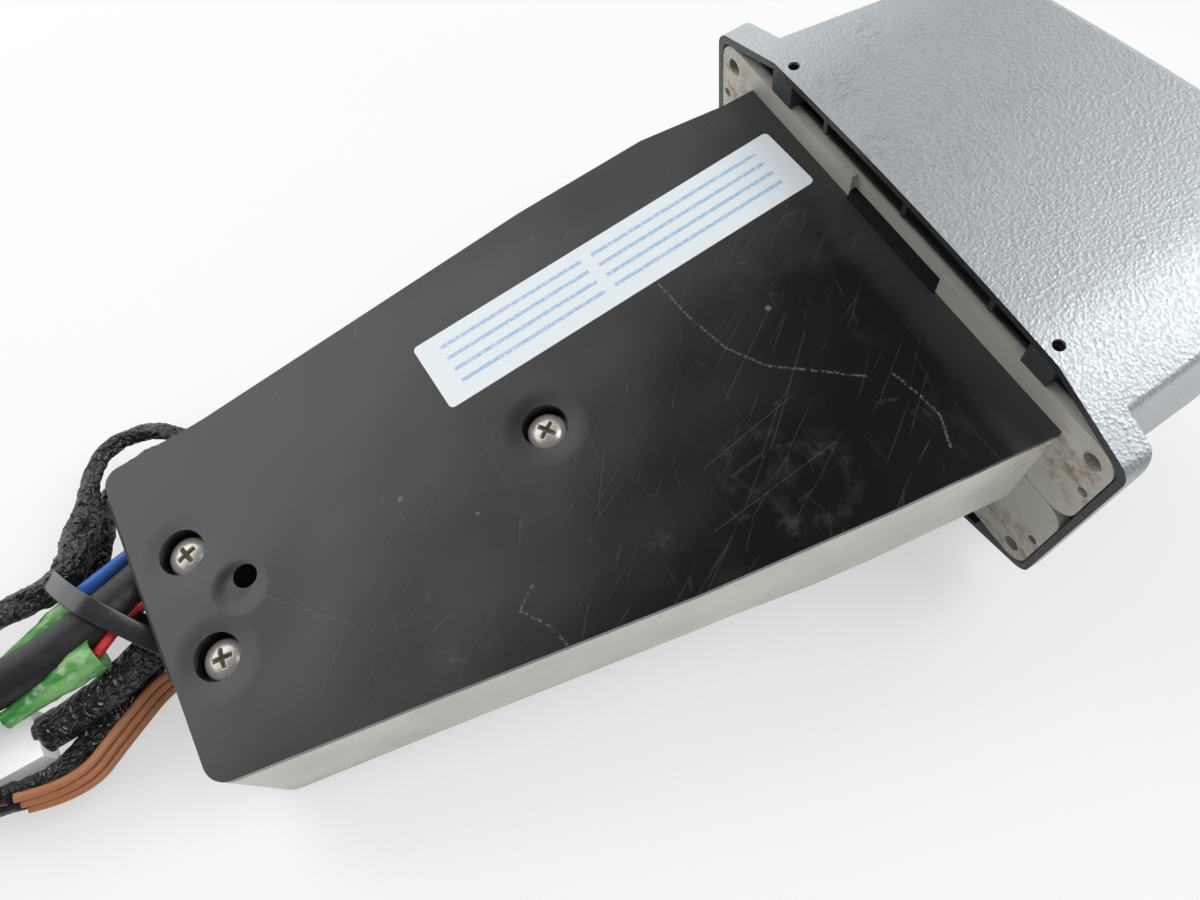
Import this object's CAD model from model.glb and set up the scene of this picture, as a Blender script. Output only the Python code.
"""Looks of a boat throttle control lever, in metres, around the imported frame."""

import math

import bmesh
import bpy
from mathutils import Matrix, Vector, noise


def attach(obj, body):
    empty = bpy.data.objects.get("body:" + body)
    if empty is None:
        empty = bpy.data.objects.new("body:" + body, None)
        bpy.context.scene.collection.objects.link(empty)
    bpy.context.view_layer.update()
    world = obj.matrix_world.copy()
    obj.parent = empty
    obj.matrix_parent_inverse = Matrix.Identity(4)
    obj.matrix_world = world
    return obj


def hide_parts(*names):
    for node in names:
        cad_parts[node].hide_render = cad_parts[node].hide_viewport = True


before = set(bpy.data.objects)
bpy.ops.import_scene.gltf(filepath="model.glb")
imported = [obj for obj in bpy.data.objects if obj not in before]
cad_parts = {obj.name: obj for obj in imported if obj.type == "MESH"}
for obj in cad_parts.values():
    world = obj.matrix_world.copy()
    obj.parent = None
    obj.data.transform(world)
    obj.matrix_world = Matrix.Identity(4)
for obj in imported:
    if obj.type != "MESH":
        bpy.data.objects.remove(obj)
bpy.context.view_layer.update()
HOUSING = "control_housing"
MM = 0.001


# ---------------------------------------------------------------- camera
# The camera's place, in millimetres, and the directions of its right and its top
SENSOR_WIDTH, LENS, CLIP_START = 36.0, 27.15, 0.005
CAMERA_PLACE = Vector((103.35, -247.1, -122.0))
CAMERA_RIGHT = Vector((0.49294, 0.12004, 0.86175)).normalized()
CAMERA_UP = Vector((-0.77528, -0.38895, 0.49766))


def place_camera():
    """One camera at the port side, low, looking up along the housing's cover."""
    data = bpy.data.cameras.new("camera")
    data.sensor_width = SENSOR_WIDTH
    data.lens = LENS
    data.clip_start = CLIP_START
    camera = bpy.data.objects.new("camera", data)
    bpy.context.scene.collection.objects.link(camera)
    back = CAMERA_RIGHT.cross(CAMERA_UP).normalized()
    up = back.cross(CAMERA_RIGHT).normalized()
    turn = Matrix((CAMERA_RIGHT, up, back)).transposed().to_4x4()
    camera.matrix_world = Matrix.Translation(CAMERA_PLACE * MM) @ turn
    bpy.context.scene.camera = camera


place_camera()


# ---------------------------------------------------------------- shader maths
class Wire:
    """A socket's value: arithmetic on it adds Math nodes."""

    def __init__(self, tree, socket):
        self.tree, self.socket = tree, socket

    def math(self, operation, *values, clamp=False):
        settings = {"operation": operation, "use_clamp": clamp}
        node = add_node(self.tree, "ShaderNodeMath", settings, enumerate(values))
        return Wire(self.tree, node.outputs[0])

    def __add__(self, other):
        return self.math("ADD", self, other)

    def __sub__(self, other):
        return self.math("SUBTRACT", self, other)

    def __rsub__(self, other):
        return self.math("SUBTRACT", other, self)

    def __mul__(self, other):
        return self.math("MULTIPLY", self, other)

    def __truediv__(self, other):
        return self.math("DIVIDE", self, other)

    def __gt__(self, other):
        return self.math("GREATER_THAN", self, other)

    def __lt__(self, other):
        return self.math("LESS_THAN", self, other)

    def __abs__(self):
        return self.math("ABSOLUTE", self)

    __radd__ = __add__
    __rmul__ = __mul__

    def power(self, exponent):
        return self.math("POWER", self, exponent)

    def clamped(self):
        return self.math("ADD", self, 0.0, clamp=True)

    def least(self, other):
        return self.math("MINIMUM", self, other)

    def most(self, other):
        return self.math("MAXIMUM", self, other)


def feed(tree, socket, value):
    """Joins a link to a socket, or sets the socket's own value."""
    if isinstance(value, Wire):
        tree.links.new(value.socket, socket)
    elif isinstance(value, (tuple, list)) and len(value) == 3 and len(socket.default_value) == 4:
        socket.default_value = (*value, 1.0)
    else:
        socket.default_value = value


def add_node(tree, kind, settings=None, inputs=()):
    """Makes a node: its settings first, then its inputs, given as (name or number, value)."""
    node = tree.nodes.new(kind)
    for key, value in (settings or {}).items():
        setattr(node, key, value)
    for key, value in inputs:
        feed(tree, node.inputs[key], value)
    return node


class Finish:
    """One material, with its principled shader and the nodes that vary it."""

    def __init__(self, name, color, roughness, metallic=0.0, **more):
        self.material = bpy.data.materials.new(name)
        self.material.use_nodes = True
        self.tree = self.material.node_tree
        self.shader = self.tree.nodes["Principled BSDF"]
        self.set(**{"Base Color": color, "Roughness": roughness, "Metallic": metallic})
        self.set(**{key.replace("_", " "): value for key, value in more.items()})
        place = self.node("ShaderNodeTexCoord", out="Object")
        self.mm = self.vector("SCALE", place, scale=1000.0)
        self.x, self.y, self.z = self.parts_of(self.mm)

    def set(self, **values):
        for key, value in values.items():
            feed(self.tree, self.shader.inputs[key], value)
        return self

    def node(self, kind, settings=None, out=0, **values):
        """One output of a new node, whose inputs are named with underscores for spaces."""
        inputs = [(key.replace("_", " "), value) for key, value in values.items()]
        return Wire(self.tree, add_node(self.tree, kind, settings, inputs).outputs[out])

    def parts_of(self, vector):
        """A vector's three numbers."""
        node = add_node(self.tree, "ShaderNodeSeparateXYZ", inputs=[(0, vector)])
        return [Wire(self.tree, socket) for socket in node.outputs]

    def vector(self, operation, first, second=None, scale=None):
        """Vector arithmetic; a distance comes out as a number."""
        inputs = [(0, first)]
        if second is not None:
            inputs.append((1, second))
        if scale is not None:
            inputs.append(("Scale", scale))
        node = add_node(self.tree, "ShaderNodeVectorMath", {"operation": operation}, inputs)
        return Wire(self.tree, node.outputs[1 if operation == "DISTANCE" else 0])

    def stretched(self, x, y, z):
        """The place in millimetres, stretched along the three axes."""
        return self.vector("MULTIPLY", self.mm, (x, y, z))

    def grain(self, size, detail=3.0, rough=0.55, vector=None, out=0):
        """Noise with features of about a size in millimetres."""
        return self.node(
            "ShaderNodeTexNoise",
            out=out,
            Vector=vector or self.mm,
            Scale=1.0 / size,
            Detail=detail,
            Roughness=rough,
        )

    def pebbles(self, size, feature, vector=None):
        """Cells of about a size in millimetres."""
        settings = {"feature": feature}
        return self.node(
            "ShaderNodeTexVoronoi", settings, Vector=vector or self.mm, Scale=1.0 / size
        )

    def step(self, value, low, high, from_value=0.0, to_value=1.0):
        """Smoothly from one number to another as a value goes from low to high."""
        return self.node(
            "ShaderNodeMapRange",
            {"interpolation_type": "SMOOTHSTEP"},
            Value=value,
            From_Min=low,
            From_Max=high,
            To_Min=from_value,
            To_Max=to_value,
        )

    def blended(self, factor, first, second):
        """Two colours, mixed by a factor."""
        first_color, second_color, color_out = 6, 7, 2
        inputs = [("Factor", factor), (first_color, first), (second_color, second)]
        node = add_node(self.tree, "ShaderNodeMix", {"data_type": "RGBA"}, inputs)
        return Wire(self.tree, node.outputs[color_out])

    def mixed(self, factor, first, second):
        """Two shaders, mixed by a factor."""
        inputs = enumerate((factor, first, second))
        node = add_node(self.tree, "ShaderNodeMixShader", inputs=inputs)
        return Wire(self.tree, node.outputs[0])

    def bumped(self, height, distance, strength=1.0, normal=None):
        """A bump of a height in millimetres on the shader's normal."""
        values = {"Height": height, "Distance": distance * MM, "Strength": strength}
        if normal:
            values["Normal"] = normal
        bump = self.node("ShaderNodeBump", **values)
        self.set(Normal=bump)
        return bump

    def near(self, place, reach, fade):
        """1 within reach of a place in millimetres, falling to 0 over a fade."""
        away = self.vector("DISTANCE", self.mm, place)
        return self.step(away, reach, reach + fade, 1.0, 0.0)


def hairlines(finish, vector, spacing, width, keep, seed):
    """Fine, nearly straight scratches: cell borders, thinned out by noise."""
    moved = finish.vector("ADD", vector, (seed, seed * 0.7, seed * 1.3))
    cells = finish.pebbles(spacing, feature="DISTANCE_TO_EDGE", vector=moved)
    line = finish.step(cells, 0.0, width, 1.0, 0.0)
    gate = finish.step(finish.grain(spacing * 0.6, detail=2.0, vector=moved), keep, keep + 0.15)
    return line * gate


def stroke(finish, start, end, width, soft=0.0):
    """A mark along a straight line between two places (x, z) on the cover's face."""
    ax, az = start
    run_x, run_z = end[0] - ax, end[1] - az
    dx, dz = finish.x - ax, finish.z - az
    share = ((dx * run_x + dz * run_z) / (run_x ** 2 + run_z ** 2)).clamped()
    off_x, off_z = dx - share * run_x, dz - share * run_z
    away = (off_x * off_x + off_z * off_z).power(0.5)
    return finish.step(away, width * 0.4, width + soft, 1.0, 0.0)


def ring(finish, place, radius, width):
    """A round smear on the cover's face."""
    dx, dz = finish.x - place[0], finish.z - place[1]
    away = (dx * dx + dz * dz).power(0.5) - radius
    return finish.step(abs(away), width * 0.3, width, 1.0, 0.0)


# ---------------------------------------------------------------- harness
# Each cord's diameter and the points that its line follows, in millimetres
ROUTES = {
    "main_loom": (8.0, [
        (-2.8, -4.0, -205.0), (-17.5, -8.0, -226.2), (-3.0, -11.0, -242.5), (10.3, -17.0, -267.8),
        (-4.0, -21.5, -304.0), (-35.0, -23.0, -304.0), (-43.0, -21.0, -277.0),
        (-40.6, -19.5, -246.8), (-50.4, -18.5, -237.3), (-77.9, -15.0, -227.9),
        (-81.5, -12.5, -213.1), (-71.3, -9.0, -200.0), (-55.0, -9.0, -185.0),
    ]),
    "hank_loom": (7.2, [
        (-35.0, -3.5, -205.0), (-30.0, -5.0, -231.0), (-38.0, -7.5, -252.0), (-50.0, -8.5, -239.0),
        (-63.0, -9.0, -232.5), (-74.0, -8.0, -222.0), (-71.0, -7.0, -202.0), (-55.0, -7.0, -202.0),
    ]),
    "black_sleeve": (12.4, [
        (-36.5, -17.0, -204.0), (-29.0, -21.0, -222.0), (-20.5, -27.0, -240.0),
        (-15.0, -32.0, -262.0), (-18.5, -38.0, -286.0),
    ]),
    "blue_lead": (4.0, [
        (-46.0, -18.0, -205.0), (-40.5, -19.0, -219.0), (-37.1, -21.0, -231.0),
        (-34.1, -21.5, -244.2),
    ]),
    "red_lead": (2.8, [
        (-16.0, -22.0, -204.0), (-17.5, -23.0, -217.0), (-22.5, -23.5, -226.5),
        (-15.8, -26.2, -234.0), (-12.8, -27.0, -238.5),
    ]),
    "black_lead": (2.6, [
        (-45.0, -9.0, -205.0), (-45.0, -11.0, -223.0), (-38.0, -15.0, -238.5),
        (-33.2, -18.0, -246.6),
    ]),
    "taped_loom": (10.4, [
        (-10.5, -10.0, -196.0), (-11.0, -13.0, -210.0), (-13.1, -16.5, -227.1),
        (-4.6, -18.5, -244.3), (-5.0, -17.0, -262.0),
    ]),
}
BROWN_ROUTE = [
    (0.4, -12.0, -205.0), (-5.5, -6.0, -228.0), (5.0, -9.5, -245.5), (15.0, -15.0, -257.0),
    (12.4, -21.0, -268.5),
]
BROWN_LEADS = ["brown_lead_1", "brown_lead_2", "brown_lead_3"]
BROWN_OFFSETS = [(0.0, 0.0), (-1.3, -2.2), (-2.6, -4.4)]
BROWN_DIAMETER, BROWN_EXIT_GAP = 2.4, 3.0
for number, (name, (dx, dy)) in enumerate(zip(BROWN_LEADS, BROWN_OFFSETS)):
    exit_x, exit_y, exit_z = BROWN_ROUTE[0]
    route = [(exit_x, exit_y - BROWN_EXIT_GAP * number, exit_z)]
    route += [(x + dx, y + dy, z) for x, y, z in BROWN_ROUTE[1:]]
    ROUTES[name] = (BROWN_DIAMETER, route)
# Each cord's own length, in metres
LINE_STEP = 0.0006
TWIST_LENGTH = 0.012
CREASE_DEPTH, CREASE_PITCH = 0.2, 0.0042
TAPE_PITCH = 0.0105
LOOP_SPREAD_AT, LOOP_SPREAD_REACH = 0.203, 0.012
LOOP_TIGHT_FROM, LOOP_TIGHT_OVER = 0.207, 0.02


def line_of(route):
    """The points of a route's one smooth spline, evenly spaced, in metres."""
    data = bpy.data.curves.new("line", "CURVE")
    data.dimensions = "3D"
    data.resolution_u = 24
    spline = data.splines.new("NURBS")
    spline.points.add(len(route) - 1)
    for point, place in zip(spline.points, route):
        point.co = (*(Vector(place) * MM), 1.0)
    spline.order_u = 3
    spline.use_endpoint_u = True
    curve = bpy.data.objects.new("line", data)
    bpy.context.scene.collection.objects.link(curve)
    mesh = bpy.data.meshes.new_from_object(curve)
    line = [vertex.co.copy() for vertex in mesh.vertices]
    bpy.data.objects.remove(curve)
    return even(line, LINE_STEP)


def even(line, gap):
    """A line's points set again at equal distances."""
    lengths = [0.0]
    for a, b in zip(line, line[1:]):
        lengths.append(lengths[-1] + (b - a).length)
    count = max(2, round(lengths[-1] / gap))
    points, at = [], 0
    for i in range(count + 1):
        want = lengths[-1] * i / count
        while at < len(line) - 2 and lengths[at + 1] < want:
            at += 1
        span = max(lengths[at + 1] - lengths[at], 1e-9)
        points.append(line[at].lerp(line[at + 1], (want - lengths[at]) / span))
    return points


def new_object(name, mesh, smooth=True):
    """Links a mesh as an object, with its faces smooth."""
    piece = bpy.data.objects.new(name, mesh)
    bpy.context.scene.collection.objects.link(piece)
    mesh.polygons.foreach_set("use_smooth", [smooth] * len(mesh.polygons))
    return piece


def rolled_faces(rings, sides):
    """Faces that join rings of points into a closed tube with two flat ends."""
    faces = []
    for i in range(rings - 1):
        for k in range(sides):
            a, b = i * sides + k, i * sides + (k + 1) % sides
            faces.append((a, b, b + sides, a + sides))
    faces.append(tuple(reversed(range(sides))))
    faces.append(tuple(range((rings - 1) * sides, rings * sides)))
    return faces


def skin(name, line, radius, sides=40):
    """A closed tube along a line; radius gives metres from the distance along and the angle."""
    verts = []
    tangent = (line[1] - line[0]).normalized()
    across = tangent.orthogonal().normalized()
    along = 0.0
    for i, point in enumerate(line):
        ahead = line[min(i + 1, len(line) - 1)] - line[max(i - 1, 0)]
        turn = tangent.rotation_difference(ahead.normalized())
        across = (turn @ across).normalized()
        tangent = ahead.normalized()
        side = tangent.cross(across)
        if i:
            along += (point - line[i - 1]).length
        for k in range(sides):
            angle = 2 * math.pi * k / sides
            out = across * math.cos(angle) + side * math.sin(angle)
            verts.append(point + out * radius(along, angle))
    mesh = bpy.data.meshes.new(name)
    mesh.from_pydata(verts, [], rolled_faces(len(line), sides))
    mesh.update()
    return new_object(name, mesh)


def wrinkled(radius, seed, waist=None):
    """Radius of wires twisted in a loose sheath: lobes run round it, with sharp creases."""
    def at(along, angle):
        turn = angle - along / TWIST_LENGTH
        place = Vector((math.cos(turn) * 1.5, math.sin(turn) * 1.5, along / CREASE_PITCH + seed))
        creases = 0.5 - abs(noise.noise(place)) * 1.6 + 0.35 * noise.noise(place * 2.7)
        lobes = 0.10 * math.cos(3 * turn)
        scale = waist(along) if waist else 1.0
        return radius * scale * (0.93 - CREASE_DEPTH * 0.4 + CREASE_DEPTH * creases + lobes)
    return at


def loop_waist(along):
    """The main loom's size along it: spread flat at the tie, tight in the loop above."""
    spread = math.exp(-((along - LOOP_SPREAD_AT) / LOOP_SPREAD_REACH) ** 2)
    tight = min(1.0, max(0.0, (along - LOOP_TIGHT_FROM) / LOOP_TIGHT_OVER))
    return 1.02 + 0.28 * spread - 0.34 * tight


def wrapped(radius):
    """Radius of a loom wound with tape: each turn laps over the last with a small step."""
    def at(along, angle):
        turn = (along / TAPE_PITCH + angle / (2 * math.pi)) % 1.0
        lump = 0.02 * noise.noise(Vector((math.cos(angle), math.sin(angle), along * 160)))
        return radius * (0.985 - 0.06 * turn + lump)
    return at


def plain(radius, seed):
    """Radius of a moulded lead: round, and only just uneven."""
    def at(along, angle):
        return radius * (0.99 + 0.02 * noise.noise(Vector((along * 300, angle, seed))))
    return at


def hang_cord(name):
    """One cord of the harness, in place of its solid."""
    diameter, route = ROUTES[name]
    radius = diameter / 2 * MM
    line = line_of(route)
    seed = len(name)
    if name == "taped_loom":
        shape = wrapped(radius)
    elif name in ("main_loom", "hank_loom"):
        shape = wrinkled(radius, seed, loop_waist if name == "main_loom" else None)
    else:
        shape = plain(radius, seed)
    piece = fitted(skin(name + "_sheath", line, shape), node=name)
    diameter * MM
    return piece


# ---------------------------------------------------------------- small pieces
def lathed(name, start, axis, profile, shape=None, sides=64):
    """A turned piece: (along, radius) pairs in millimetres round an axis, each moved by shape."""
    axis = Vector(axis).normalized()
    across = axis.orthogonal().normalized()
    side = axis.cross(across)
    verts = []
    for along, radius in profile:
        for k in range(sides):
            angle = 2 * math.pi * k / sides
            at, out = shape(along, radius, angle) if shape else (along, radius)
            ray = across * math.cos(angle) + side * math.sin(angle)
            verts.append((Vector(start) + axis * at + ray * out) * MM)
    mesh = bpy.data.meshes.new(name)
    mesh.from_pydata(verts, [], rolled_faces(len(profile), sides))
    turned = bmesh.new()
    turned.from_mesh(mesh)
    bmesh.ops.recalc_face_normals(turned, faces=turned.faces)
    turned.to_mesh(mesh)
    turned.free()
    return new_object(name, mesh)


def fitted(piece, body=HOUSING, node=None):
    """Puts a piece on its body and the node that it stands for."""
    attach(piece, body)
    if node:
        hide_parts(node)
    return piece


def joined(name, pieces):
    """Several meshes as one object."""
    whole = bmesh.new()
    for piece in pieces:
        whole.from_mesh(piece.data)
        bpy.data.objects.remove(piece)
    mesh = bpy.data.meshes.new(name)
    whole.to_mesh(mesh)
    whole.free()
    return new_object(name, mesh)


# Each screw's x and z, in millimetres, and the turn of its recess
SCREW_PLACES = [(-24.25, -206.9, 0.5), (6.95, -207.8, 0.9), (-3.55, -107.8, 0.2)]
HEAD_R, HEAD_RISE, WELL_FLOOR_Y = 5.35, 4.0, -26.0
WING_LENGTH, WING_WIDTH, WING_DEPTH = 2.9, 0.5, 1.8
DOME_RINGS, DOME_FALL, DOME_POWER = 44, 1.7, 2.6
SHANK_R, SHANK_LENGTH = 2.5, 14.0
RECESS_TOP_Y = (-29.6, -29.3)


def screw(x, z, turn):
    """A domed screw with a cross recess whose wings slope down to its middle."""
    def recess(along, radius, angle):
        if radius > HEAD_R - 0.6 or along < 1.0:
            return along, radius
        u, v = radius * math.cos(angle + turn), radius * math.sin(angle + turn)
        depth = 0.0
        for long, wide in ((abs(u), abs(v)), (abs(v), abs(u))):
            inside = min(1.0, max(0.0, (WING_WIDTH + 0.18 - wide) / 0.22))
            fall = min(1.0, max(0.0, (WING_LENGTH - long) / 0.5))
            depth = max(depth, inside * fall * WING_DEPTH * (1 - 0.25 * long))
        return along - depth, radius

    profile = []
    for i in range(1, DOME_RINGS + 1):
        radius = (HEAD_R - 0.25) * i / DOME_RINGS
        profile.append((HEAD_RISE - DOME_FALL * (radius / HEAD_R) ** DOME_POWER, radius))
    edge = profile[-1][0]
    profile += [(edge - 0.25, HEAD_R), (0.25, HEAD_R), (0.0, HEAD_R - 0.2)]
    profile += [(-0.02, SHANK_R), (-SHANK_LENGTH, SHANK_R)]
    return lathed("screw", (x, WELL_FLOOR_Y, z), (0.0, -1.0, 0.0), profile, recess, sides=96)


SLEEVE_RINGS, SLEEVE_WALL, SLEEVE_PINCH = 40, 0.55, 1.5
JOINT_RINGS = 24


def lead_sleeve(name, start, axis, length, radii, seed):
    """A loose vinyl sleeve: an open mouth, a thin wall, soft creases and a pinched end."""
    def crease(along, radius, angle):
        place = Vector((math.cos(angle) * 1.2, math.sin(angle) * 1.2, along * 0.28 + seed))
        lump = noise.noise(place) * 0.8 + abs(noise.noise(place * 2.1)) * 0.5
        return along, radius * (1 + 0.16 * lump * min(1.0, max(0.0, along) / 6.0))

    wide, narrow = radii
    outer = []
    for i in range(SLEEVE_RINGS + 1):
        share = i / SLEEVE_RINGS
        ease = share * share * (3 - 2 * share)
        outer.append((length * share, wide + (narrow - wide) * ease))
    open_length = length - SLEEVE_PINCH
    inner = [(along, radius - SLEEVE_WALL) for along, radius in outer if along < open_length]
    tip = [(length + 0.45, narrow * 0.2), (length + 0.4, narrow * 0.6)]
    return lathed(name, start, axis, tip + outer[::-1] + inner, crease, sides=48)


def crimped_joint(name, start, axis, length, radius):
    """A crimped joint in a lead: a barrel with rolled ends and two pinched waists."""
    profile = [(0.0, radius * 0.5), (0.2, radius * 0.92)]
    for i in range(1, JOINT_RINGS):
        along = length * i / JOINT_RINGS
        pinch = sum(math.exp(-((along - length * place) / 0.9) ** 2) for place in (0.3, 0.7))
        profile.append((along, radius * (1 - 0.14 * pinch)))
    profile += [(length - 0.2, radius * 0.92), (length, radius * 0.5)]
    return lathed(name, start, axis, profile, sides=32)


# The tie's own axes, and the line of its band (across, deep), in millimetres
TIE_ORIGIN, TIE_ACROSS = Vector((-28.5, 0.0, -237.0)), Vector((0.84, 0.0, 0.5426))
TIE_NORMAL, TIE_DEPTH = Vector((-0.5426, 0.0, 0.84)), Vector((0.0, 1.0, 0.0))
TIE_LOOP = [
    (-19.5, -6.0), (-19.5, -19.0), (-16.0, -23.5), (0.5, -33.8), (8.5, -34.0), (24.0, -20.5),
    (25.6, -12.0), (21.2, -4.9), (0.0, 0.3), (-15.0, -1.8),
]
TIE_HALF_WIDTH, TIE_HALF_THICK = 2.7, 0.55
TIE_SECTION = [
    (-1, -0.8), (-0.85, -1), (0.85, -1), (1, -0.8), (1, 0.8), (0.85, 1), (-0.85, 1), (-1, 0.8),
]
TIE_HEAD_PLACE, TIE_HEAD_SIZE, TIE_HEAD_BEVEL = (-10.0, -1.6), (7.0, 3.6, 5.6), 0.7


def cut_corners(loop, times):
    """A closed loop with its corners cut again and again, until they are round."""
    for _ in range(times):
        loop = [
            a.lerp(b, share)
            for a, b in zip(loop, loop[1:] + loop[:1])
            for share in (0.25, 0.75)
        ]
    return loop


def strap():
    """The flat tie round the bundle: a thin band and its head."""
    loop = cut_corners([Vector(place) for place in TIE_LOOP], 4)
    middle = sum(loop, Vector((0.0, 0.0))) / len(loop)
    verts, faces = [], []
    count, sides = len(loop), len(TIE_SECTION)
    for i, place in enumerate(loop):
        ahead = (loop[(i + 1) % count] - loop[i - 1]).normalized()
        out = Vector((ahead.y, -ahead.x))
        if out.dot(place - middle) < 0:
            out = -out
        for across, height in TIE_SECTION:
            at = place + out * (TIE_HALF_THICK + TIE_HALF_THICK * height)
            spot = TIE_ORIGIN + TIE_ACROSS * at.x + TIE_DEPTH * at.y
            verts.append((spot + TIE_NORMAL * (TIE_HALF_WIDTH * across)) * MM)
    for i in range(count):
        here, there = i * sides, (i + 1) % count * sides
        for k in range(sides):
            after = (k + 1) % sides
            faces.append((here + k, here + after, there + after, there + k))
    mesh = bpy.data.meshes.new("strap")
    mesh.from_pydata(verts, [], faces)
    head = bmesh.new()
    head.from_mesh(mesh)
    bmesh.ops.recalc_face_normals(head, faces=head.faces)
    place = Matrix((TIE_ACROSS, TIE_DEPTH, TIE_NORMAL)).transposed().to_4x4()
    across, deep = TIE_HEAD_PLACE
    place.translation = TIE_ORIGIN + TIE_ACROSS * across + TIE_DEPTH * deep
    size = Matrix.Diagonal((*TIE_HEAD_SIZE, 1.0))
    made = bmesh.ops.create_cube(head, size=1.0, matrix=Matrix.Scale(MM, 4) @ place @ size)
    head.edges.index_update()
    edges = {edge for vert in made["verts"] for edge in vert.link_edges}
    edges = sorted(edges, key=lambda edge: edge.index)
    bevel = {"offset": TIE_HEAD_BEVEL * MM, "segments": 3, "affect": "EDGES", "profile": 0.6}
    bmesh.ops.bevel(head, geom=edges, **bevel)
    head.to_mesh(mesh)
    head.free()
    return new_object("cable_strap", mesh)


# The tab's section (y, z), in millimetres
TAB_HALF_LENGTH = 19.1
TAB_SECTION = [
    (-31.95, -0.9), (-34.4, 0.3), (-34.7, 1.95), (-33.1, 1.95), (-33.1, -0.08), (-31.95, -0.08),
]


def tab_of_cover():
    """The dull tab on the side cover's top edge, which fills the notch in the flange."""
    mesh = bpy.data.meshes.new("cover_tab")
    shape = bmesh.new()
    ends = [
        [shape.verts.new(Vector((x, y, z)) * MM) for y, z in TAB_SECTION]
        for x in (-TAB_HALF_LENGTH, TAB_HALF_LENGTH)
    ]
    for k in range(len(TAB_SECTION)):
        after = (k + 1) % len(TAB_SECTION)
        shape.faces.new((ends[0][k], ends[0][after], ends[1][after], ends[1][k]))
    shape.faces.new(ends[0])
    shape.faces.new(ends[1][::-1])
    bmesh.ops.recalc_face_normals(shape, faces=shape.faces)
    shape.to_mesh(mesh)
    shape.free()
    return new_object("cover_tab", mesh, smooth=False)


# Each sleeve's axis, its length, its radii at the mouth and the tip, and its creases' seed
SLEEVES = {
    "red_lead": ((4.7, -2.2, -25.3), 26.6, (4.7, 2.4), 3.0),
    "black_lead": ((6.9, -4.0, -19.5), 20.6, (3.9, 2.2), 11.0),
}
# Each crimped joint's length and radius
JOINTS = {"red_lead": (15.0, 2.6), "black_lead": (12.0, 2.1)}
SLEEVE_LAP, JOINT_GAP = 1.2, 1.0


def sleeve_on(lead):
    """The green sleeve at a lead's end, which laps over the lead."""
    axis, length, radii, seed = SLEEVES[lead]
    axis = Vector(axis).normalized()
    start = Vector(ROUTES[lead][1][-1]) - axis * SLEEVE_LAP
    sleeve = lead_sleeve(lead + "_cover", start, axis, length, radii, seed)
    return fitted(sleeve, node=lead + "_sleeve")


def joint_on(lead):
    """The crimped joint at a lead's end, inside its sleeve."""
    axis = Vector(SLEEVES[lead][0]).normalized()
    start = Vector(ROUTES[lead][1][-1]) + axis * JOINT_GAP
    return crimped_joint("joint", start, axis, *JOINTS[lead])


pieces = {
    "cover_screws": fitted(
        joined("cover_screw_heads", [screw(*place) for place in SCREW_PLACES]),
        node="cover_screws",
    ),
    "red_lead_sleeve": sleeve_on("red_lead"),
    "black_lead_sleeve": sleeve_on("black_lead"),
    "cable_tie": fitted(strap(), node="cable_tie"),
    "cover_tab": fitted(tab_of_cover()),
    "terminals": fitted(joined("lead_terminals", [joint_on(lead) for lead in JOINTS])),
}


cords = {name: hang_cord(name) for name in ROUTES}


# ---------------------------------------------------------------- finishes
# Rusty places on the flange: the middle, its reach and its fade, in millimetres
STAINED_CORNERS = [
    ((76.0, -24.0, 0.0), 5.0, 16.0), ((80.0, 32.0, 0.0), 6.0, 18.0),
    ((-78.0, -30.0, 0.0), 4.0, 14.0), ((64.0, 36.0, 0.0), 4.0, 20.0),
]
LIP_SHADOW_Z, LIP_SHADOW_Y = (2.3, 3.6), -37.0


def cast_metal():
    """Dull sand-cast alloy: a cream-grey skin with fine grit, and rust stains at the holes."""
    f = Finish("sand_cast_alloy", (0.5, 0.49, 0.45), 0.5, 0.25)
    grit = f.grain(0.4, detail=2.0)
    patches = f.grain(26.0, detail=3.0)
    cream, grey = (0.70, 0.69, 0.63), (0.61, 0.605, 0.555)
    color = f.blended(f.step(patches, 0.35, 0.65), grey, cream)
    color = f.blended(f.step(grit, 0.28, 0.40, 0.4, 0.0), color, (0.22, 0.215, 0.19))
    flange = f.step(f.z, -1.2, -0.2)
    color = f.blended(flange * 0.55, color, (0.30, 0.29, 0.25))
    beside_rim = f.step(f.z, *LIP_SHADOW_Z) * (f.y < LIP_SHADOW_Y)
    color = f.blended(beside_rim * 0.95, color, (0.012, 0.012, 0.013))
    stains = f.step(f.grain(5.0, detail=4.0, rough=0.7), 0.46, 0.64)
    corners = f.near(*STAINED_CORNERS[0])
    for corner in STAINED_CORNERS[1:]:
        corners = corners.most(f.near(*corner))
    color = f.blended((stains * corners * 0.7).clamped(), color, (0.26, 0.15, 0.055))
    grime = f.step(f.grain(8.0, detail=4.0, rough=0.7), 0.50, 0.70) * corners
    color = f.blended(grime * 0.5, color, (0.10, 0.085, 0.065))
    f.set(**{"Base Color": color, "Roughness": f.step(patches, 0.3, 0.7, 0.42, 0.56)})
    f.bumped(grit * 0.6 + f.grain(1.6, detail=2.0) * 0.4, 0.16, 0.6)
    return f.material


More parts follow.
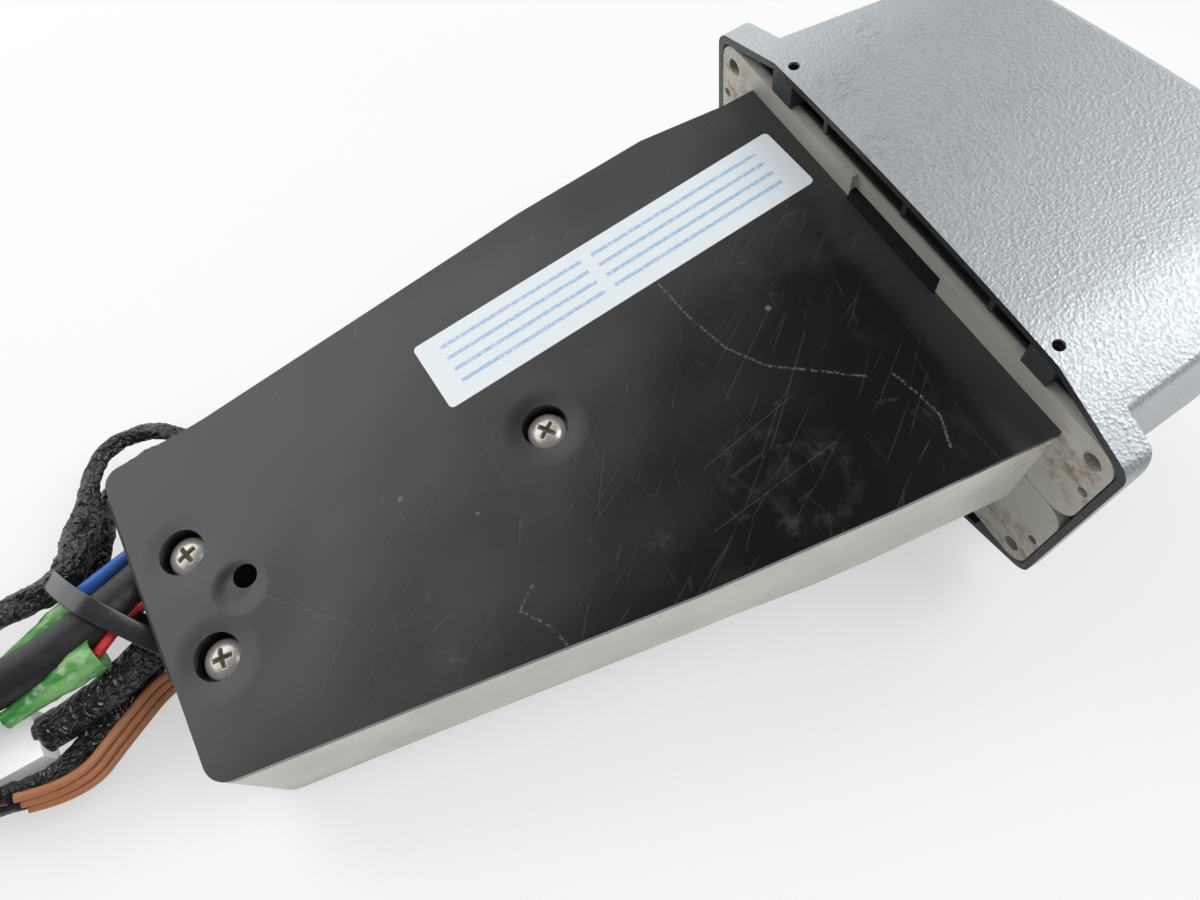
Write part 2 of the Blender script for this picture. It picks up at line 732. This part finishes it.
# Marks on the side cover, by their places (x, z) on its face, in millimetres
COVER_FACE_Y = -32.0
SCRAPE = [
    (-25.6, -59.9), (-11.2, -58.5), (2.6, -55.5), (13.4, -49.3), (22.0, -39.0), (30.0, -29.8),
]
SCRAPE_END = [(33.0, -23.8), (41.4, -22.0), (48.9, -21.3), (57.1, -24.6)]
FORKED_SCRATCH = [(32.6, -130.8), (36.7, -136.7), (44.1, -131.8), (50.0, -130.7)]
LONG_SCRATCHES = [
    ((-1.0, -38.8), (15.8, -64.0)), ((40.8, -47.3), (44.7, -85.7)),
    ((44.3, -121.6), (50.3, -126.5)), ((-59.6, -80.8), (-48.6, -76.2)),
    ((-1.9, -192.1), (18.7, -173.8)), ((29.1, -78.9), (24.1, -48.4)),
    ((10.0, -35.0), (34.0, -62.0)), ((-4.0, -188.0), (12.0, -181.0)),
]
RUBBED_RINGS = [((35.0, -67.0), 8.5), ((47.0, -58.0), 10.0)]
SMEARS = [
    ((40.1, -98.1), 4.0), ((41.1, -52.2), 4.0), ((53.0, -68.4), 5.0), ((40.1, -145.8), 5.0),
    ((37.5, -157.6), 6.0),
]
DENTS = [((-6.2, -150.1), 0.9), ((-1.2, -39.2), 1.0), ((8.5, -134.3), 0.6)]
SUNK_PLACES = [
    ((-23.4, -206.9), 9.0), ((7.2, -208.0), 9.0), ((-3.4, -107.6), 9.0), ((-7.0, -196.5), 5.0),
]
SCRAPE_WIDTH, SCRAPE_SOFT = 0.18, 0.36
SCRATCH_WIDTH, SCRATCH_SOFT = 0.08, 0.12
RUBBED_WIDTH, SINK_REACH = 3.2, 3.0


def on_cover(finish, place, reach, fade):
    """1 round a place (x, z) on the cover's face, in millimetres, falling to 0."""
    return finish.near((place[0], COVER_FACE_Y, place[1]), reach, fade)


def scuffed_black():
    """Glossy black moulding: hairlines, dull smears, a long scrape, sink marks at the wells."""
    f = Finish("scuffed_black", (0.012, 0.012, 0.013), 0.2, Specular_IOR_Level=1.0)
    flat = f.stretched(1.0, 0.0, 1.0)
    turned = f.node("ShaderNodeVectorRotate", {"rotation_type": "Y_AXIS"}, Vector=flat, Angle=0.6)
    thin = f.vector("MULTIPLY", turned, (1.0, 0.0, 0.12))
    fine = hairlines(f, thin, 5.0, 0.022, 0.49, 3.0)
    across = hairlines(f, f.stretched(0.14, 0.0, 1.0), 6.0, 0.020, 0.50, 31.0)
    hair = (fine * 0.5 + across * 0.4).clamped()
    broken = f.step(f.grain(1.1, detail=3.0, vector=flat), 0.40, 0.60)
    paths = (SCRAPE, SCRAPE_END, FORKED_SCRATCH)
    lines = [line for path in paths for line in zip(path, path[1:])]
    scrape = stroke(f, *lines[0], SCRAPE_WIDTH, SCRAPE_SOFT)
    for start, end in lines[1:]:
        scrape = scrape.most(stroke(f, start, end, SCRAPE_WIDTH, SCRAPE_SOFT))
    scrape = scrape * broken
    for start, end in LONG_SCRATCHES:
        scrape = scrape.most(stroke(f, start, end, SCRATCH_WIDTH, SCRATCH_SOFT) * 0.32)
    for place, size in DENTS:
        scrape = scrape.most(on_cover(f, place, size * 0.6, size * 0.5))
    smear = f.step(f.grain(26.0, detail=4.0, rough=0.6, vector=flat), 0.52, 0.74) * 0.5
    cloud = f.step(f.grain(3.5, detail=4.0, rough=0.7, vector=flat), 0.38, 0.62)
    for place, radius in RUBBED_RINGS:
        smear = smear.most(ring(f, place, radius, RUBBED_WIDTH) * cloud * 0.5)
    for place, size in SMEARS:
        smear = smear.most(on_cover(f, place, 0.5, size) * cloud)
    dust = f.step(f.grain(0.45, detail=1.0, vector=flat), 0.72, 0.77)
    by_flange = f.step(f.z, -15.0, -5.0)
    specks = dust * (by_flange * 0.8 + 0.2)
    light = (scrape * 0.13 + hair * 0.055 + smear * 0.02 + specks * 0.3).clamped()
    dulled = smear * 0.16 + hair * 0.10 + scrape * 0.2 + 0.155 + by_flange * 0.42
    f.set(**{
        "Base Color": f.blended(light, (0.0065, 0.0065, 0.0073), (0.50, 0.51, 0.54)),
        "Roughness": dulled.clamped(),
    })
    sunk = sum((on_cover(f, place, SINK_REACH, size) for place, size in SUNK_PLACES), 0.0)
    wave = f.grain(48.0, detail=1.0, vector=flat)
    height = wave * 1.4 - sunk * 0.5 - (hair + scrape) * 0.02 + f.grain(5.0, detail=2.0) * 0.012
    f.bumped(height, 1.0, 1.0)
    return f.material


# The top cover's outline: where its long sides draw in, how far out they are, and their bow
BEND_X, SIDE_Y, BOW, END_SLOPE = 58.0, 50.2, 1.7, 0.355
BEND_REACH, HALF_TURN = 16.0, 0.14
WALL, INSIDE_X, INSIDE_Z = 0.9, 66.0, 20.0
SCUFFED_PLACES = [
    ((-40.0, -51.0, 8.0), 1.0, 9.0), ((-17.0, -51.0, 5.0), 1.0, 7.0),
    ((-52.0, -51.0, 26.0), 1.0, 9.0),
]


def eased_bend(f):
    """The surface's normal, with the crease where the long sides draw in made a soft curve."""
    normal = f.node("ShaderNodeNewGeometry", out="Normal")
    upright = f.step(abs(f.parts_of(normal)[1]), 0.75, 0.85)
    before = f.step(abs(f.x), BEND_X - BEND_REACH, BEND_X, 0.0, HALF_TURN)
    after = f.step(abs(f.x), BEND_X, BEND_X + BEND_REACH, -HALF_TURN, 0.0)
    past = abs(f.x) > BEND_X
    turn = before * (1.0 - past) + after * past
    side = (f.x > 0.0) * 2.0 - 1.0
    lean = f.node("ShaderNodeCombineXYZ", X=turn * side * upright)
    return f.vector("NORMALIZE", f.vector("ADD", normal, lean))


def inside_of_shell(f):
    """1 on the shell's inner faces near the rim, and on the rim's own lower edge."""
    far = abs(f.x)
    bowed = SIDE_Y + BOW - far * far * (BOW / BEND_X ** 2)
    drawn = SIDE_Y - (far - BEND_X) * END_SLOPE
    past = far > BEND_X
    half = bowed * (1.0 - past) + drawn * past
    within = (abs(f.y) < half - WALL) * (far < INSIDE_X) * (f.z < INSIDE_Z)
    return within.most(f.z < 0.05)


def pebbled_grey():
    """Silver-grey moulded cover: leather grain, metallic flake, a few dark scuffs, dark inside."""
    f = Finish("pebbled_grey", (0.3, 0.32, 0.34), 0.36, 0.7)
    cells = f.pebbles(0.85, feature="SMOOTH_F1")
    lumps = f.grain(1.3, detail=3.0, rough=0.6)
    flake = f.step(f.grain(0.22, detail=0.0), 0.52, 0.75)
    tone = f.blended(f.grain(40.0, detail=2.0), (0.41, 0.445, 0.465), (0.49, 0.525, 0.545))
    tone = f.blended(flake * 0.35, tone, (0.66, 0.69, 0.72))
    stretch = f.grain(3.0, detail=4.0, rough=0.7, vector=f.stretched(2.2, 1.0, 0.7))
    worn = f.step(stretch, 0.50, 0.60)
    first, second, third = (f.near(*place) for place in SCUFFED_PLACES)
    marks = worn * (first.most(second) * 0.24 + third * 0.2)
    tone = f.blended(marks.clamped(), tone, (0.06, 0.06, 0.065))
    inner = inside_of_shell(f)
    tone = f.blended(inner, tone, (0.022, 0.024, 0.028))
    f.set(**{
        "Base Color": tone,
        "Roughness": f.step(cells, 0.1, 0.6, 0.32, 0.46),
        "Metallic": 0.7 - inner * 0.7,
    })
    f.bumped(cells * -0.6 + lumps * 0.7, 0.22, 0.9, eased_bend(f))
    return f.material


def satin(name, color, roughness, metallic=0.0, size=0.8, depth=0.03, spread=0.18, **more):
    """A plain moulded, painted or rubber finish, mottled so that it isn't one flat tone."""
    f = Finish(name, color, roughness, metallic, **more)
    mottle = f.grain(size * 9, detail=3.0)
    darker = tuple(c * (1 - spread) for c in color)
    lighter = tuple(min(1.0, c * (1 + spread) + 0.004) for c in color)
    tone = f.blended(mottle, darker, lighter)
    patches = f.grain(size * 3, detail=4.0, rough=0.7)
    wear = f.step(patches, 0.35, 0.75, roughness * 0.82, roughness * 1.25)
    f.set(**{"Base Color": tone, "Roughness": wear})
    f.bumped(f.grain(size, detail=2.0), depth, 0.6)
    return f.material


def rusty_steel():
    """Bright screw heads with faint spots, dulled brown where dirt sits in the recess."""
    f = Finish("screw_steel", (0.62, 0.61, 0.58), 0.28, 1.0)
    spots = f.step(f.grain(1.6, detail=4.0, rough=0.7), 0.56, 0.74) * 0.4
    for x, z, _ in SCREW_PLACES:
        by_recess = f.near((x, WELL_FLOOR_Y - 3.0, z), WING_LENGTH, 0.3)
        spots = spots.most(by_recess * f.step(f.y, *RECESS_TOP_Y))
    color = f.blended(spots, (0.70, 0.675, 0.62), (0.16, 0.12, 0.08))
    f.set(**{
        "Base Color": color,
        "Roughness": spots * 0.2 + 0.27,
        "Metallic": 0.65 - spots * 0.3,
    })
    f.bumped(f.grain(0.5, detail=2.0), 0.015, 0.4)
    return f.material


def turned_steel(name, color, roughness):
    """Machined steel with fine tool marks and a thin film of old grease."""
    f = Finish(name, color, roughness, 1.0)
    marks = f.grain(0.5, detail=2.0, vector=f.stretched(1.0, 0.15, 1.0))
    grease = f.step(f.grain(6.0, detail=3.0), 0.52, 0.7)
    dark = tuple(c * 0.35 for c in color)
    f.set(**{
        "Base Color": f.blended(grease * 0.7, color, dark),
        "Roughness": marks * 0.2 + (roughness - 0.08),
    })
    f.bumped(marks, 0.02, 0.5)
    return f.material


LABEL_TILT, LABEL_X, LABEL_Z = math.radians(3.2), -36.9, -66.5
RULE_GAP, RULES_FROM, RULES_MIDDLE, RULES_HALF = 4.2, -9.0, -0.4, 9.5
RULE_COLUMNS = [(-31.0, 23.5), (25.0, 29.0)]


def blank_label():
    """White sticker, bare but for soft ruled lines in blue, with slightly grubby patches."""
    f = Finish("blank_label", (0.66, 0.70, 0.73), 0.34)
    dx, dz = f.x - LABEL_X, f.z - LABEL_Z
    along = dz * math.cos(LABEL_TILT) - dx * math.sin(LABEL_TILT)
    across = dx * math.cos(LABEL_TILT) + dz * math.sin(LABEL_TILT)
    down = across - RULES_FROM
    row = abs(down.math("MODULO", down, RULE_GAP) - RULE_GAP / 2)
    rows = f.step(row, 0.45, 0.75, 1.0, 0.0) * (abs(across - RULES_MIDDLE) < RULES_HALF)
    left, right = (abs(along - middle) < half for middle, half in RULE_COLUMNS)
    worn = f.step(f.grain(0.9, detail=2.0), 0.30, 0.55, 0.35, 1.0)
    grub = f.step(f.grain(4.0, detail=4.0), 0.55, 0.75)
    color = f.blended(grub * 0.10, (0.665, 0.715, 0.745), (0.50, 0.50, 0.47))
    color = f.blended(rows * left.most(right) * worn * 0.7, color, (0.16, 0.34, 0.60))
    f.set(**{"Base Color": color})
    f.bumped(f.grain(2.0), 0.02, 0.3)
    return f.material


def loom_vinyl():
    """Shiny black sheath: sharp creases that catch the light, with grey dust between them."""
    f = Finish("loom_vinyl", (0.012, 0.012, 0.014), 0.16, Specular_IOR_Level=0.9)
    warped = f.vector("ADD", f.mm, f.vector("SCALE", f.grain(4.0, detail=1.0, out=1), scale=3.0))
    folds = f.pebbles(2.6, feature="DISTANCE_TO_EDGE", vector=warped)
    crease = f.step(folds, 0.0, 0.22)
    dust = f.step(f.grain(3.0, detail=4.0), 0.5, 0.72)
    f.set(**{
        "Base Color": f.blended(dust * 0.2, (0.011, 0.011, 0.013), (0.10, 0.10, 0.10)),
        "Roughness": dust * 0.22 + 0.14,
    })
    f.bumped(crease * 0.7 + f.grain(1.2, detail=3.0) * 0.6, 0.7, 1.0)
    return f.material


def green_vinyl():
    """Translucent green insulating sleeve, darker where it folds, with pale streaks."""
    f = Finish("green_vinyl", (0.3, 0.6, 0.3), 0.18, Transmission_Weight=0.35, IOR=1.4)
    streak = f.step(f.grain(4.5, detail=3.0, vector=f.stretched(1.0, 1.0, 0.25)), 0.36, 0.66)
    pale = f.step(f.grain(3.0, detail=2.0), 0.50, 0.70)
    color = f.blended(streak, (0.05, 0.30, 0.06), (0.30, 0.62, 0.24))
    f.set(**{"Base Color": f.blended(pale * 0.6, color, (0.62, 0.80, 0.52))})
    f.bumped(f.grain(1.5, detail=3.0), 0.2, 0.6)
    return f.material


FINISHES = {
    "alloy": cast_metal(),
    "cover": scuffed_black(),
    "pebble": pebbled_grey(),
    "screws": rusty_steel(),
    "steel": turned_steel("turned_steel", (0.60, 0.59, 0.57), 0.3),
    "gears": turned_steel("greased_gears", (0.38, 0.37, 0.35), 0.38),
    "bronze": turned_steel("bush_bronze", (0.56, 0.38, 0.17), 0.34),
    "label": blank_label(),
    "charcoal": satin("charcoal_nylon", (0.035, 0.037, 0.042), 0.5),
    "dull": satin("dull_black", (0.004, 0.004, 0.0045), 0.7, Specular_IOR_Level=0.15),
    "red": satin("switch_red", (0.50, 0.03, 0.02), 0.4),
    "lever": satin("lever_paint", (0.030, 0.031, 0.034), 0.36, 0.3, size=0.6),
    "grip": satin("grip_rubber", (0.018, 0.018, 0.020), 0.62, size=0.7, depth=0.08),
    "rubber": satin("cord_rubber", (0.016, 0.016, 0.018), 0.48, size=0.6, depth=0.05),
    "tie": satin("tie_nylon", (0.030, 0.031, 0.034), 0.26, size=0.5, Specular_IOR_Level=0.9),
    "loom": loom_vinyl(),
    "blue": satin("blue_vinyl", (0.03, 0.12, 0.42), 0.38),
    "red_wire": satin("red_vinyl", (0.55, 0.02, 0.02), 0.36),
    "black_wire": satin("black_vinyl", (0.02, 0.02, 0.022), 0.38),
    "brown": satin("brown_vinyl", (0.38, 0.15, 0.06), 0.42),
    "green": green_vinyl(),
    "white": satin(
        "white_nylon", (0.93, 0.93, 0.91), 0.45, spread=0.03,
        Emission_Color=(1.0, 1.0, 0.98), Emission_Strength=0.12,
    ),
}
NODE_FINISH = {
    "alloy": ["main_casting", "flange_bracket", "cable_anchor"],
    "cover": ["side_cover"],
    "pebble": ["top_cover"],
    "screws": ["cover_screws", "grip_screws"],
    "steel": [
        "tie_bolts", "pivot_pins", "lever_shaft", "detent_plunger", "friction_screw", "cable_clip",
    ],
    "gears": ["drive_gear", "shift_arm", "throttle_arm", "detent_disc"],
    "bronze": ["port_bush", "starboard_bush"],
    "label": ["label_plate"],
    "charcoal": [
        "fixing_blocks", "friction_pad", "neutral_switch", "free_throttle_button", "trim_rocker",
    ],
    "red": ["switch_plunger"],
    "lever": ["lever_casting"],
    "grip": ["grip_front", "grip_rear"],
    "rubber": ["main_plug", "loom_grommets", "outlet_grommet", "black_sleeve"],
    "tie": ["cable_tie"],
    "loom": ["main_loom", "hank_loom", "taped_loom"],
    "blue": ["blue_lead"],
    "red_wire": ["red_lead"],
    "black_wire": ["black_lead", "lead_tips"],
    "brown": BROWN_LEADS,
    "green": ["red_lead_sleeve", "black_lead_sleeve"],
    "white": ["white_plug"],
}


def dress(piece, material):
    """Gives a piece one material on every face."""
    piece.data.materials.clear()
    piece.data.materials.append(material)


for key, names in NODE_FINISH.items():
    for name in names:
        piece = cords.get(name) or pieces.get(name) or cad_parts[name]
        dress(piece, FINISHES[key])
dress(pieces["cover_tab"], FINISHES["dull"])
dress(pieces["terminals"], FINISHES["bronze"])


# ---------------------------------------------------------------- table and light
TABLE_SLOPE, TABLE_REACH, TABLE_GLOW = 0.262, 3.0, 0.5
TABLE_MIDDLE = Vector((0.0, 0.006 + TABLE_SLOPE * 0.12, -0.1))
# What gloss sees of the room: a window's side that falls off along X and Z, and a pale wall above
ROOM_LIGHT = 0.62
WINDOW_BY_X, WINDOW_BY_Z, WINDOW_BASE = -2.9, -1.58, -0.52
WINDOW_LEAST, WINDOW_MOST = 0.02, 1.35
WALL_FROM_Z, WALL_BY_Z = 0.48, 3.6


def table_top():
    """The white table that the control lies on, starboard side down, clear from behind."""
    f = Finish("table_white", (0.80, 0.805, 0.81), 0.6)
    faint = f.grain(120.0, detail=2.0)
    f.set(**{"Base Color": f.blended(faint, (0.79, 0.795, 0.80), (0.83, 0.835, 0.84))})
    glow = f.node("ShaderNodeEmission", Color=(1.0, 1.0, 1.0), Strength=1.0)
    clear = f.node("ShaderNodeBsdfTransparent")
    seen = f.node("ShaderNodeLightPath", out="Is Camera Ray")
    back = f.node("ShaderNodeNewGeometry", out="Backfacing")
    pale = f.mixed(seen * TABLE_GLOW, Wire(f.tree, f.shader.outputs[0]), glow)
    output = next(n for n in f.tree.nodes if n.type == "OUTPUT_MATERIAL")
    feed(f.tree, output.inputs["Surface"], f.mixed(back, pale, clear))
    along_z = Vector((0.0, TABLE_SLOPE, 1.0)).normalized() * TABLE_REACH
    along_x = Vector((TABLE_REACH, 0.0, 0.0))
    corners = [TABLE_MIDDLE - along_x - along_z, TABLE_MIDDLE + along_x - along_z]
    corners += [TABLE_MIDDLE + along_x + along_z, TABLE_MIDDLE - along_x + along_z]
    mesh = bpy.data.meshes.new("table")
    mesh.from_pydata(corners, [], [(0, 1, 2, 3)])
    mesh.update()
    table = new_object("table", mesh, smooth=False)
    dress(table, f.material)


def softbox(name, place, aim, size, power, glossy=True):
    """A square area lamp at a place, in metres, turned to its aim, in or out of the gloss."""
    data = bpy.data.lights.new(name, "AREA")
    data.size, data.energy = size, power
    lamp = bpy.data.objects.new(name, data)
    lamp.location = place
    lamp.visible_glossy = glossy
    lamp.rotation_euler = (Vector(aim) - Vector(place)).to_track_quat("-Z", "Y").to_euler()
    bpy.context.scene.collection.objects.link(lamp)


def room_light():
    """An even white room, which the camera sees as plain white, with a darker side for gloss."""
    world = bpy.data.worlds.new("room")
    bpy.context.scene.world = world
    world.use_nodes = True
    tree = world.node_tree
    tree.nodes.clear()
    aim = add_node(tree, "ShaderNodeTexCoord").outputs["Generated"]
    split = add_node(tree, "ShaderNodeSeparateXYZ", inputs=[(0, Wire(tree, aim))])
    aim_x, _, aim_z = (Wire(tree, socket) for socket in split.outputs)
    window_side = aim_x * WINDOW_BY_X + aim_z * WINDOW_BY_Z + WINDOW_BASE
    window_side = window_side.most(WINDOW_LEAST).least(WINDOW_MOST)
    wall_side = ((aim_z - WALL_FROM_Z) * WALL_BY_Z).clamped()
    path = add_node(tree, "ShaderNodeLightPath").outputs
    kinds = ("Is Camera Ray", "Is Transmission Ray", "Is Glossy Ray")
    seen, through, gloss = (Wire(tree, path[kind]) for kind in kinds)
    open_view = seen.most(through)
    indirect = gloss * window_side.most(wall_side) + (1.0 - gloss) * ROOM_LIGHT
    strength = open_view + (1.0 - open_view) * indirect
    inputs = [("Color", (1.0, 1.0, 1.0)), ("Strength", strength)]
    shine = add_node(tree, "ShaderNodeBackground", inputs=inputs)
    add_node(tree, "ShaderNodeOutputWorld", inputs=[(0, Wire(tree, shine.outputs[0]))])


table_top()
room_light()
softbox("window", (-0.95, -1.1, -0.45), (0.0, 0.0, -0.08), 0.9, 10.0, glossy=False)
softbox("ceiling", (0.35, -1.05, 0.9), (0.0, 0.0, 0.0), 0.9, 8.0)

bpy.context.scene.view_settings.view_transform = "Standard"
bpy.context.view_layer.update()
